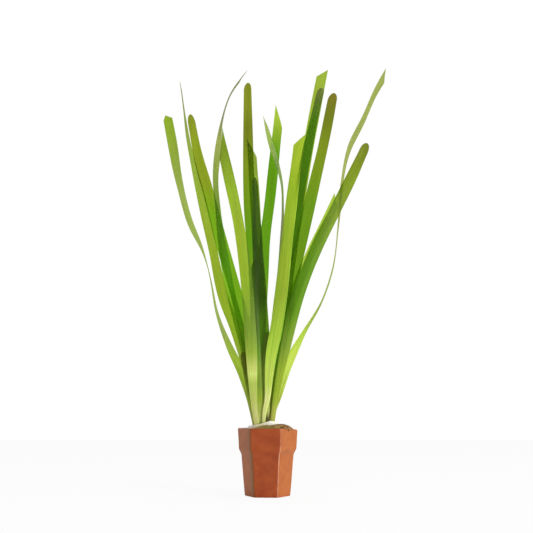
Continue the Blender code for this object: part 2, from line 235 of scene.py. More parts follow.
def floorPaint(tree, look):
    # pale diffuse floor that the camera sees nearly white
    white = look.floorWhite
    paint = put(tree, "ShaderNodeBsdfDiffuse", {"Color": (white, white, white, 1)}).outputs[0]
    glow = put(tree, "ShaderNodeEmission", {"Strength": look.surround}).outputs[0]
    watched = put(tree, "ShaderNodeLightPath").outputs["Is Camera Ray"]
    shown = times(tree, watched, 1 - look.floorShown)
    return put(tree, "ShaderNodeMixShader", {0: shown, 1: paint, 2: glow}).outputs[0]


def makeStudio(look):
    # the surroundings shine white behind and to the right, and fade to grey toward the front left
    scene = bpy.context.scene
    world = bpy.data.worlds.new("studio")
    world.use_nodes = True
    tree = world.node_tree
    tree.nodes.clear()
    brightWay = (math.sin(look.brightTurn), math.cos(look.brightTurn), 0)
    way = put(tree, "ShaderNodeTexCoord").outputs["Generated"]
    towards = put(tree, "ShaderNodeVectorMath", {0: way, 1: brightWay},
                  operation="DOT_PRODUCT").outputs["Value"]
    shade = ramp(tree, towards, look.darkUntil, look.brightFrom, look.darkSurround, look.surround)
    lit = put(tree, "ShaderNodeBackground", {"Color": shade})
    seen = put(tree, "ShaderNodeBackground", {"Color": (1, 1, 1, 1), "Strength": look.surround})
    either = put(tree, "ShaderNodeMixShader", {0: put(tree, "ShaderNodeLightPath").outputs["Is Camera Ray"],
                                               1: lit.outputs[0], 2: seen.outputs[0]})
    put(tree, "ShaderNodeOutputWorld", {"Surface": either.outputs[0]})
    scene.world = world
    for name, lamp in look.lamps.items():
        light = bpy.data.objects.new(name, bpy.data.lights.new(name, "AREA"))
        light.data.energy = lamp["power"]
        light.data.size = lamp["size"]
        light.location = lamp["at"]
        towardsPlant = np.array(look.lampTarget) - np.array(lamp["at"])
        light.rotation_euler = (math.atan2(np.hypot(*towardsPlant[:2]), -towardsPlant[2]), 0,
                                math.atan2(-towardsPlant[0], towardsPlant[1]))
        light.visible_camera = False
        scene.collection.objects.link(light)
    half = look.floorSize / 2
    mesh = bpy.data.meshes.new("floor")
    corners = [(-half, -half, 0), (half, -half, 0), (half, half, 0), (-half, half, 0)]
    mesh.from_pydata(corners, [], [(0, 1, 2, 3)])
    mesh.materials.append(finished("floorPaint", floorPaint, look))
    floor = bpy.data.objects.new("floor", mesh)
    scene.collection.objects.link(floor)
    scene.view_settings.view_transform = "Standard"
    scene.view_settings.look = "None"
    scene.cycles.transparent_max_bounces = look.faceCrossings


makeStudio(studio)
print("studio made")


# Pot of six-sided clay, drawn by its profile and a rounded hexagon

pot = Look(height=55.0 * mm, rim=25.6 * mm, collarFoot=24.6 * mm, bodyTop=22.4 * mm, bodyFoot=19.7 * mm,
           collarHeight=17.3 * mm, collarSlope=4.0 * mm, corner=2.4 * mm, innerCorner=1.5 * mm, wall=3.0 * mm,
           floor=4.2 * mm, turn=math.radians(-3.8), centre=0.4 * mm, footInset=0.5 * mm,
           eases=[0.6 * mm, 1.6 * mm, 1.1 * mm, 1.2 * mm, 0.7 * mm, 1.5 * mm],   # from the foot over the rim
           waver=0.10 * mm, waverLength=26 * mm, waverFrom=6 * mm, rimFrom=45 * mm, rimRun=9 * mm,
           rimWave=0.12 * mm, rimWaveLength=18 * mm,
           cornerDrop=1.4 * mm, cornerFrom=18 * mm, cornerRun=7 * mm)
wallAcross = pot.wall / math.cos(thirty)   # the wall's thickness measured at a corner
pot["innerRim"] = pot.rim - wallAcross
pot["innerFoot"] = pot.bodyFoot - wallAcross


def aroundPot(cornerPoints=11, flatPoints=12, near=math.radians(4.6)):
    # angles round the pot, close together within near of the six corners
    once = np.concatenate([np.linspace(-near, near, cornerPoints, endpoint=False),
                           np.linspace(near, sixty - near, flatPoints, endpoint=False)])
    return pot.turn + (once[None, :] + np.radians(60 * np.arange(6))[:, None]).ravel()


def turned(angle, reach, height):
    # the point at an angle round the axis, a distance from it and a height
    return np.stack(np.broadcast_arrays(reach * np.cos(angle), reach * np.sin(angle), height), axis=-1)


def hexagonReach(angle, radius, corner):
    # distance from the axis to a hexagon with rounded corners: apothem / cos where the ray meets a side, and
    # elsewhere the far hit on the corner's circle, m cos g + sqrt(c^2 - m^2 sin^2 g)
    middle = radius - corner / math.sin(sixty)
    fromSide = (angle - pot.turn) % sixty - thirty
    fromCorner = thirty - np.abs(fromSide)
    apothem = middle * math.cos(thirty) + corner
    flat = apothem / np.cos(fromSide)
    onFlat = apothem * np.tan(np.abs(fromSide)) <= middle * 0.5
    beside = middle * np.sin(fromCorner)
    arc = middle * np.cos(fromCorner) + np.sqrt(np.maximum(corner ** 2 - beside ** 2, 0))
    return np.where(onFlat, flat, arc)


def easedLine(points, eases, samples=7, between=6):
    # a profile through points whose corners are quadratic curves, (1-t)^2 a + 2t(1-t) p + t^2 b, begun and
    # ended at the ease distance from the corner, with plain steps between them
    points = np.array(points, float)
    t = np.linspace(0, 1, samples)[:, None]
    line = [points[:1]]
    for before, at, after, ease in zip(points[:-2], points[1:-1], points[2:], eases):
        a = at + (before - at) * min(0.48, ease / np.linalg.norm((before - at)[:2]))
        b = at + (after - at) * min(0.48, ease / np.linalg.norm((after - at)[:2]))
        steps = np.linspace(0, 1, between + 1)[1:-1, None]
        line += [line[-1][-1:] * (1 - steps) + a * steps, (1 - t) ** 2 * a + 2 * t * (1 - t) * at + t * t * b]
    steps = np.linspace(0, 1, between + 1)[1:, None]
    return np.concatenate(line + [line[-1][-1:] * (1 - steps) + points[-1] * steps])


def cornerSink(points):
    # how far the rim has sunk toward its right corner
    return pot.cornerDrop * smoothstep((points[..., 0] - pot.cornerFrom) / pot.cornerRun)


def potPoints(look):
    # the profile (radius, height, corner radius) turned round the axis as a hexagon, plus a faint hand-made
    # waver and a rim that sinks toward its right corner
    collarFoot = look.height - look.collarHeight
    outer, inner = look.corner, look.innerCorner
    profile = easedLine(
        [(look.centre, 0, outer), (look.bodyFoot - look.footInset, 0, outer),
         (look.bodyTop, collarFoot - look.collarSlope, outer), (look.collarFoot, collarFoot, outer),
         (look.rim, look.height, outer), (look.innerRim, look.height, inner),
         (look.innerFoot, look.floor, inner), (look.centre, look.floor, inner)], look.eases)
    angle = aroundPot()
    corner = np.minimum(profile[:, 2], 0.5 * profile[:, 0])[:, None]
    reach = hexagonReach(angle[None, :], profile[:, 0][:, None], corner)
    points = turned(angle, reach, profile[:, 1][:, None])
    sway = look.waver * waves(points, look.waverLength, 6, 3)
    sway *= smoothstep(points[..., 2] / look.waverFrom)
    points[..., :2] *= (1 + sway / np.maximum(reach, 5 * mm))[..., None]
    rimShare = smoothstep((points[..., 2] - look.rimFrom) / look.rimRun)
    points[..., 2] += look.rimWave * rimShare * waves(points, look.rimWaveLength, 5, 4)
    points[..., 2] -= rimShare * cornerSink(points)
    return points


# painted light: the front face's colours are painted darker as shade, and the other faces' colours paler as
# light
clay = Look(cloudScale=110, grainScale=900, wetDark=(0.305, 0.047, 0.006, 1),
            wetLight=((0.385, 0.071, 0.010, 1), 0.35, 0.65), dryDark=(0.38, 0.094, 0.012, 1),
            dryLight=((0.46, 0.125, 0.017, 1), 0.35, 0.65), cornerSoft=math.radians(1.4),
            stain=(0.20, 0.085, 0.017, 1), stainWide=math.radians(22), stainClouds=(0.3, 0.6, 0.35, 0.85),
            # the pale line's colour, width, place, heights and breaks below are a painted highlight down the
            # right front corner
            pores=((0.26, 0.043, 0.006, 1), 0.58, 0.75, 0.0, 0.25), wornPale=(0.85, 0.55, 0.36, 1),
            wornHalf=math.radians(1.3), wornShift=math.radians(-0.6),
            wornHeights=(37 * mm, 42 * mm, 1.0, 0.25), wornScale=260, wornGaps=(0.3, 0.6, 0.35, 0.8),
            gloss=(0.3, 0.7, 0.36, 0.50), grainHeight=0.4,
            bump=(0.35, 0.12 * mm), shine=0.25, wetFilm=0.22, filmGloss=0.14)


def clayPaint(tree, look):
    # fired clay, satin: red brown with painted shade on the front face and a paler orange with painted light
    # on the other faces, with clouds, an olive stain beside the front left corner, a painted highlight line
    # down the right one, and pores in the gloss
    place = objectPlace(tree)
    axes = axesOf(tree, place)
    clouds = noise(tree, place, look.cloudScale, 4, 0.6)
    grain = noise(tree, place, look.grainScale, 4, 0.6)
    turn = maths(tree, "ARCTAN2", axes["X"], times(tree, axes["Y"], -1.0))
    leftCorner, rightCorner = pot.turn - thirty, pot.turn + thirty
    soft = look.cornerSoft
    leftOf = ramp(tree, turn, leftCorner + soft, leftCorner - soft)
    # painted light: every face but the front one takes the paler orange, and the front one keeps the darker
    # red brown as painted shade
    sideLightShare = maths(tree, "MAXIMUM", ramp(tree, turn, rightCorner - soft, rightCorner + soft), leftOf)
    colour = mixColour(tree, sideLightShare, layered(tree, look.wetDark, (clouds, look.wetLight)),
                       layered(tree, look.dryDark, (clouds, look.dryLight)))
    besideLeft = times(tree, ramp(tree, turn, leftCorner - look.stainWide, leftCorner), leftOf)
    stain = times(tree, besideLeft, ramp(tree, clouds, *look.stainClouds))
    colour = mixColour(tree, stain, colour, look.stain)
    colour = layered(tree, colour, (grain, look.pores))
    # painted highlight: a pale, broken line down the right front corner, strongest below the collar
    aside = maths(tree, "ABSOLUTE", maths(tree, "SUBTRACT", turn, rightCorner + look.wornShift))
    below = ramp(tree, axes["Z"], *look.wornHeights)
    glintLine = times(tree, ramp(tree, aside, 0.0, look.wornHalf, 1.0, 0.0), below)
    broken = ramp(tree, noise(tree, place, look.wornScale, 2, 0.5), *look.wornGaps)
    colour = mixColour(tree, times(tree, glintLine, broken), colour, look.wornPale)
    height = maths(tree, "ADD", times(tree, grain, look.grainHeight), clouds)
    return satin(tree, Base_Color=colour, Roughness=ramp(tree, grain, *look.gloss),
                 Normal=bumps(tree, height, *look.bump), Specular_IOR_Level=look.shine,
                 Coat_Weight=look.wetFilm, Coat_Roughness=look.filmGloss)


potGrid = potPoints(pot)
makePiece("potClay", potGrid, cappedFaces(potGrid), finished("clay", clayPaint, clay), ["pot"])
print("pot made")


# Growing medium: wool that fills the pot, with loose fibres, and the foam strip round the plant

medium = Look(bundleX=-3.7 * mm, pocket=(12.9 * mm, 12.5 * mm), pocketFloor=43.0 * mm, taper=0.9, bulge=2.7,
              gap=0.3 * mm, wrapWall=1.5 * mm, wrapLow=57.2 * mm, wrapHigh=60.6 * mm,
              wrapClimb=(-10 * mm, 16 * mm), wrapShown=(52 * mm, 3 * mm),
              wrapSlow=(0.25 * mm, 2.2 * mm, 0.2 * mm, 2.6 * mm),
              wrapLumps=((6.0 * mm, 8, 31, 0.10 * mm), (1.5 * mm, 12, 32, 0.02 * mm)),
              woolRise=3.3 * mm, woolEdgeDrop=2.2 * mm, woolSunk=0.7 * mm,
              woolLeft=(-15 * mm, 15.5 * mm), woolRight=(13 * mm, 13 * mm), woolBack=(-4 * mm, 16 * mm, 0.35),
              woolLump=(0.35 * mm, 2.9 * mm, 3.7 * mm), shoulder=2.4 * mm, shoulderCorner=6.0 * mm,
              felt=((3.4 * mm, 9, 21, 0.16 * mm), (1.3 * mm, 12, 22, 0.10 * mm)))


def lumpsAt(points, rows):
    # several waves added, each row giving a length, a count, a seed and a height
    return sum(high * waves(points, size, count, seed) for size, count, seed, high in rows)


def innerReach(height):
    # corner radius of the pot's hollow: a straight taper from floor to rim
    share = (height - pot.floor) / (pot.height - pot.floor)
    return pot.innerFoot + (pot.innerRim - pot.innerFoot) * share


def squaredOval(angle, half, share=1.0):
    # x = a |cos|^(2/p), y = b |sin|^(2/p) with their signs, about the middle of the leaf bundle
    power = 2.0 / medium.bulge
    x = medium.bundleX + half[0] * share * np.sign(np.cos(angle)) * np.abs(np.cos(angle)) ** power
    return np.stack([x, half[1] * share * np.sign(np.sin(angle)) * np.abs(np.sin(angle)) ** power], axis=-1)


def woolTop(x, y):
    # level with the rim on the left, one smooth shoulder up to the right, lower at the back
    look = medium
    right = smoothstep((x - look.woolLeft[0]) / look.woolLeft[1])
    right *= 1 - smoothstep((x - look.woolRight[0]) / look.woolRight[1])
    high, pitchX, pitchY = look.woolLump
    lumps = high * np.sin(x / pitchX + 0.6) * np.cos(y / pitchY)
    back = 1.0 - look.woolBack[2] * smoothstep((y - look.woolBack[0]) / look.woolBack[1])
    return pot.height - look.woolSunk + look.woolRise * right * back + lumps


def woolPoints(look, around=240, across=46):
    # rings from the pot's wall inward to the pocket, at the wool's height plus felted bumps, then down the
    # pocket; the height eases in from a hexagon with wide round corners, so no crease runs to a corner
    angle = np.linspace(0, 2 * np.pi, around, endpoint=False)
    foot, edge = pot.floor + look.gap, pot.height - look.woolEdgeDrop
    room = look.gap / math.cos(thirty) + 0.1 * mm

    def wallRing(height):
        return turned(angle, hexagonReach(angle, innerReach(height) - room, pot.innerCorner), height)

    outer = wallRing(edge)
    pocket = squaredOval(angle, look.pocket)
    share = np.linspace(0, 1, across)[1:, None, None]
    top = np.empty((across - 1, around, 3))
    top[..., :2] = outer[None, :, :2] + (pocket[None] - outer[None, :, :2]) * share
    x, y = top[..., 0], top[..., 1]
    rounded = hexagonReach(np.arctan2(y, x), innerReach(edge) - room, look.shoulderCorner)
    rise = smoothstep((rounded - np.hypot(x, y) + 0.25 * mm) / look.shoulder) ** 0.6
    top[..., 2] = edge + (woolTop(x, y) - edge) * rise
    inside = smoothstep(share[..., 0] / 0.2) * (1 - smoothstep((share[..., 0] - 0.8) / 0.2))
    top[..., 2] += lumpsAt(top, look.felt) * inside
    floorRing = np.concatenate([squaredOval(angle, look.pocket, look.taper),
                                np.full((around, 1), look.pocketFloor)], axis=1)
    return np.concatenate([wallRing(foot)[None], wallRing(0.5 * (foot + edge))[None], outer[None], top,
                           floorRing[None]])


spill = Look(middle=math.radians(-37), half=math.radians(19), thick=1.2 * mm, lift=0.15 * mm, ragged=0.22,
             startIn=4.5 * mm, startHeight=56.6 * mm, restHeight=55.4 * mm, endHeight=51.6 * mm,
             corner=2.0 * mm, eases=[1.5 * mm, 1.2 * mm], along=70, across=26, endReach=0.42,
             moreReach=0.5, evenShare=0.84, torn=((0.5, 9, 1.0), (0.3, 23, 2.2), (0.2, 41, 0.0)),
             rough=((1.6 * mm, 8, 41, 0.5), (0.8 * mm, 8, 42, 0.3)))


def spillPoints(look):
    # wool that sags over the rim: a path (corner radius, height) from the wool over the rim and down, swept
    # along the rim; point = path + normal times a thickness that runs out at the ragged end
    path = easedLine([(pot.innerRim - look.startIn, look.startHeight),
                      (pot.innerRim - 0.6 * mm, look.restHeight),
                      (pot.rim + 0.05 * mm, pot.height),
                      (pot.rim - 0.1 * mm, look.endHeight)], look.eases)
    along = unit(np.gradient(path, axis=0))
    normal = np.column_stack([-along[:, 1], along[:, 0]])
    path = path + look.lift * normal
    length = np.concatenate([[0], np.cumsum(np.linalg.norm(np.diff(path, axis=0), axis=1))])
    u = np.linspace(-1, 1, look.along)
    swell = np.sqrt(np.clip(1 - u ** 2, 0, 1))
    torn = sum(high * np.sin(pitch * u + phase) for high, pitch, phase in look.torn)
    uneven = look.evenShare + look.ragged * torn
    reach = length[-1] * (look.endReach + look.moreReach * swell ** 0.8 * uneven)
    v = np.linspace(0, 1, look.across)
    place = reach[:, None] * v
    at, out = (np.stack([np.interp(place, length, rows[:, k]) for k in (0, 1)], axis=-1)
               for rows in (path, normal))
    thick = look.thick * swell[:, None] * np.sqrt(np.clip(1 - v ** 3, 0, 1)) + 0.04 * mm
    angle = look.middle + look.half * u[:, None]

    def solid(section):
        return turned(angle, hexagonReach(angle, section[..., 0], look.corner), section[..., 1])

    under = solid(at)
    rough = np.clip(0.75 + lumpsAt(under, look.rough), 0.25, 1.8)
    over = solid(at + out * (thick * rough)[..., None])
    points = np.concatenate([over, under[:, -2:0:-1]], axis=1)
    points[..., 2] -= cornerSink(points)
    return points


wool = Look(patchScale=260, threadScale=2400, threadStretch=(1.0, 0.35, 2.2), threadTurn=(0.3, 0.2, 0.7),
            dark=(0.17, 0.105, 0.016, 1), light=((0.25, 0.18, 0.034, 1), 0.35, 0.65),
            brown=((0.30, 0.12, 0.035, 1), 4 * mm, 15 * mm, 0.0, 0.75),
            thread=((0.31, 0.21, 0.055, 1), 0.45, 0.72, 0.0, 0.6), gloss=(0.3, 0.7, 0.45, 0.8),
            bump=(0.8, 0.35 * mm))


def woolPaint(tree, look):
    # wet mineral wool: olive brown, browner on the right, streaked by its fibres
    place = objectPlace(tree)
    patches = noise(tree, place, look.patchScale, 3, 0.6)
    drawn = stretch(tree, place, look.threadStretch, look.threadTurn)
    threads = noise(tree, drawn, look.threadScale, 5, 0.65)
    colour = layered(tree, look.dark, (patches, look.light),
                     (axesOf(tree, place)["X"], look.brown), (threads, look.thread))
    return satin(tree, Base_Color=colour, Roughness=ramp(tree, threads, *look.gloss),
                 Normal=bumps(tree, threads, *look.bump))


fibres = Look(count=420, steps=9, sides=4, thick=(0.04 * mm, 0.09 * mm), length=(2.5 * mm, 7.0 * mm), seed=7,
              angles=(-1.15, 3.5), bend=0.9, arch=(0.05, 0.5), clearance=0.12 * mm, wallGap=0.9 * mm,
              overRun=2.0 * mm, overMost=3.2 * mm, overLift=0.25 * mm)


def fibrePoints(look):
    # each fibre is a thin tube along a bent path: start + direction s + bend s^2, eased down onto the wool
    dice = np.random.default_rng(look.seed)
    count, steps, sides = look.count, look.steps, look.sides
    angle = dice.uniform(*look.angles, count)
    share = dice.uniform(0.05, 1.0, count) ** 0.8
    wall = hexagonReach(angle, innerReach(pot.height) - look.wallGap, pot.innerCorner)
    outer = np.stack([wall * np.cos(angle), wall * np.sin(angle)], axis=-1)
    start = outer + (squaredOval(angle, medium.pocket) - outer) * share[:, None]
    heading = dice.uniform(0, 2 * np.pi, count)
    bend = dice.normal(0, look.bend, count)
    length = dice.uniform(*look.length, count) * (0.6 + 0.4 * share)
    s = np.linspace(0, 1, steps)[None, :]
    turn = heading[:, None] + bend[:, None] * s
    step = (length / (steps - 1))[:, None]
    back = 0.4 * length   # how much of a fibre lies behind its start
    x = start[:, :1] + np.cumsum(np.cos(turn) * step, axis=1) - (back * np.cos(heading))[:, None]
    y = start[:, 1:] + np.cumsum(np.sin(turn) * step, axis=1) - (back * np.sin(heading))[:, None]
    far = np.hypot(x, y)
    limit = hexagonReach(np.arctan2(y, x), pot.innerRim - 0.5 * mm, pot.innerCorner)
    over = smoothstep((far - limit) / look.overRun)
    pull = np.minimum(1.0, (limit + look.overMost) / far)
    x, y = x * pull, y * pull
    lift = dice.uniform(*look.arch, count)[:, None] * mm * np.sin(np.pi * s) + look.clearance
    z = np.maximum(woolTop(x, y), pot.height * over) + lift + over * look.overLift
    path = np.stack([x, y, z], axis=-1)
    along = unit(np.gradient(path, axis=1))
    side = unit(np.cross(along, np.array([0.15, 0.1, 1.0])))
    up = np.cross(side, along)
    radius = (dice.uniform(*look.thick, count)[:, None] * (1 - 0.6 * s ** 3))[..., None, None]
    around = 2 * np.pi * np.arange(sides) / sides
    ring = np.cos(around)[:, None] * side[:, :, None, :] + np.sin(around)[:, None] * up[:, :, None, :]
    return path[:, :, None, :] + ring * radius


wetWool = finished("wetWool", woolPaint, wool)
woolGrid = woolPoints(medium)
makePiece("woolFill", woolGrid, cappedFaces(woolGrid), wetWool, ["wool_plug"])
spillGrid = spillPoints(spill)
makePiece("woolSpill", spillGrid, cappedFaces(spillGrid), wetWool, [])

fibreGrid = fibrePoints(fibres)
perFibre = fibres.steps * fibres.sides
fibreStart = perFibre * np.arange(fibres.count)[:, None, None]
tube = gridFaces(fibres.steps, fibres.sides, closeColumns=True)
ends = np.stack([np.arange(fibres.sides), np.arange(perFibre - fibres.sides, perFibre)])
fibreFaces = (np.concatenate([tube, ends])[None] + fibreStart).reshape(-1, 4)
makePiece("woolFibres", fibreGrid, fibreFaces, wetWool, [])
print("wool made")


def wrapTop(x, y):
    # the strip's top edge climbs from left to right, with slow waves
    start, run = medium.wrapClimb
    climb = smoothstep((x - medium.bundleX - start) / run)
    highX, pitchX, highY, pitchY = medium.wrapSlow
    slow = highX * np.sin(x / pitchX) + highY * np.cos(y / pitchY)
    return medium.wrapLow + (medium.wrapHigh - medium.wrapLow) * climb + slow


def wrapPoints(look, around=300):
    # the wall's section, outer foot to inner foot over a round lip, carried round the oval, plus lumps
    angle = np.linspace(0, 2 * np.pi, around, endpoint=False)
    outer = np.array(look.pocket) - look.gap
    foot = look.pocketFloor + look.gap
    lip = np.cos(np.linspace(0.3, np.pi - 0.3, 11))
    rise = np.concatenate([np.linspace(0, 0.9, 14), 1 - 0.1 * lip ** 2, np.linspace(0.9, 0, 14)])
    inward = np.concatenate([np.zeros(14), 0.5 - 0.5 * lip, np.ones(14)])
    rows = []
    for up, depth in zip(rise, inward):
        share = look.taper + (1 - look.taper) * min(1.0, up * 1.6)
        ring = squaredOval(angle, outer - look.wrapWall * depth, share)
        top = wrapTop(ring[:, 0], ring[:, 1])
        rows.append(np.column_stack([ring, foot + (top - foot) * up]))
    points = np.array(rows)
    start, run = look.wrapShown
    lumps = lumpsAt(points, look.wrapLumps) * smoothstep((points[..., 2] - start) / run)
    out = unit(points[..., :2] - np.array([look.bundleX, 0]))
    points[..., :2] += out * lumps[..., None]
    points[..., 2] += lumps
    return points


foam = Look(cellScale=1500.0, stainScale=210, left=(1.0, 0.92, 0.80, 1),
            middle=((0.66, 0.61, 0.36, 1), -15 * mm, -8 * mm), right=((0.80, 0.80, 0.72, 1), -5 * mm, 3 * mm),
            stain=((0.66, 0.63, 0.44, 1), 0.45, 0.75, 0.0, 0.7),
            pinHole=((0.55, 0.52, 0.40, 1), 0.0, 0.35, 0.25, 0.0), gloss=(0.3, 0.7, 0.4, 0.65),
            bump=(0.5, 0.2 * mm), glow=0.25, glowRadius=(0.6, 0.55, 0.4), glowScale=1.5 * mm)


def foamPaint(tree, look):
    # wet pale foam: warm white on the left, stained in the middle, grey white on the right, with pin holes
    place = objectPlace(tree)
    across = axesOf(tree, place)["X"]
    cells = put(tree, "ShaderNodeTexVoronoi",
                {"Vector": place, "Scale": look.cellScale}).outputs["Distance"]
    stains = noise(tree, place, look.stainScale, 3, 0.6)
    colour = layered(tree, look.left, (across, look.middle), (across, look.right),
                     (stains, look.stain), (cells, look.pinHole))
    return satin(tree, Base_Color=colour, Roughness=ramp(tree, stains, *look.gloss),
                 Normal=bumps(tree, cells, *look.bump), Subsurface_Weight=look.glow,
                 Subsurface_Radius=look.glowRadius, Subsurface_Scale=look.glowScale)


wrapGrid = wrapPoints(medium)
wrapFaces = gridFaces(*wrapGrid.shape[:2], closeRows=True, closeColumns=True)
makePiece("foamStrip", wrapGrid, wrapFaces, finished("paleFoam", foamPaint, foam), ["foam_wrap"])
print("foam made")


# Leaves: ribbons through the same stations as the solids, finely drawn

# Named leaf colours, as one leaf looks with white behind it; the darkest brown is painted shade for a gap
# between leaves, and one pale stop is a painted highlight
greens = dict(ivory=(228, 232, 182), bone=(205, 206, 138), cream=(216, 221, 150), husk=(190, 199, 110),
              highlightPale=(206, 216, 130), golden=(184, 186, 88), barley=(189, 208, 94), wheat=(180, 206, 80),
              flax=(160, 182, 56), pale=(176, 193, 92), reed=(155, 179, 66), moor=(138, 165, 60),
              apple=(168, 197, 68), dew=(168, 195, 56), lime=(152, 178, 50), spring=(148, 180, 50),
              leaf=(146, 172, 66), fern=(124, 150, 38), grass=(110, 154, 32), meadow=(126, 177, 34),
              clover=(138, 190, 46), bright=(101, 158, 25), bottle=(111, 159, 60), khaki=(143, 163, 40),
              olive=(130, 153, 36), bronze=(136, 148, 42), bark=(120, 132, 38), brown=(134, 127, 45),
              moss=(110, 138, 36), shade=(104, 136, 48), dusk=(118, 150, 56), sage=(162, 184, 94),
              sedge=(157, 170, 92), ash=(132, 140, 88), smoke=(108, 120, 66), pewter=(160, 160, 128),
              gapShade=(92, 84, 38))

foliage = Look(foot=52.5, tallest=382.5, layerGap=1.6 * mm, layerSpread=11.0 * mm, spreadPower=1.35,
               middleLayer=4.5, baseWidth=5.0, widenLength=80.0, taperShare=0.28, tipSharpness=8,
               thick=0.6 * mm, rows=170, columns=17, wobble=0.018, wobbleTurns=(14, 22), dish=(0.25, 0.6),
               ripple=0.35 * mm, rippleTurns=(18, 30), edgePower=5, rib=0.25, ribHalf=0.12, tipRound=1.2 * mm,
               swell=0.5, swellRun=40 * mm, skinShare=0.9)

# Patterns that follow the blade's own map (scale, detail, roughness), what they do to its tone, and tints
bladeSkin = Look(veins=((26.0, 1.6, 1.0), 3, 0.6), broad=((3.0, 2.4, 1.0), 3, 0.55),
                 specks=((9.0, 60.0, 1.0), 4, 0.6), streaks=((9.0, 0.9, 1.0), 2, 0.5),
                 strands=((7.0, 1.3, 1.0), 3, 0.6), strandShift=(3.1, 0.7, 0.0),
                 veined=(0.3, 0.7, -0.05, 0.04), solidVeins=2.6, mottled=(0.3, 0.7, -0.08, 0.08),
                 specked=(0.5, 0.75, 0.02, -0.11), margin=(0.43, 0.49, 0.0, 0.07),
                 yellower=((1.08, 0.99, 0.86, 1), 0.42, 0.62), greener=((0.66, 0.86, 0.42, 1), 0.42, 0.62),
                 streakShare=0.9, greyer=((0.66, 0.60, 0.78, 1), 0.48, 0.64),
                 foot=(62 * mm, 130 * mm, 0.75, 0.0), scatter=(1.5, -0.2), backlit=(0.45, -0.36),
                 sheen=0.06, sheenColour=(0.80, 0.85, 0.70, 1), gloss=(0.3, 0.7, 0.32, 0.48),
                 bump=(0.5, 0.12 * mm), shine=0.25, filmBend=1.38)

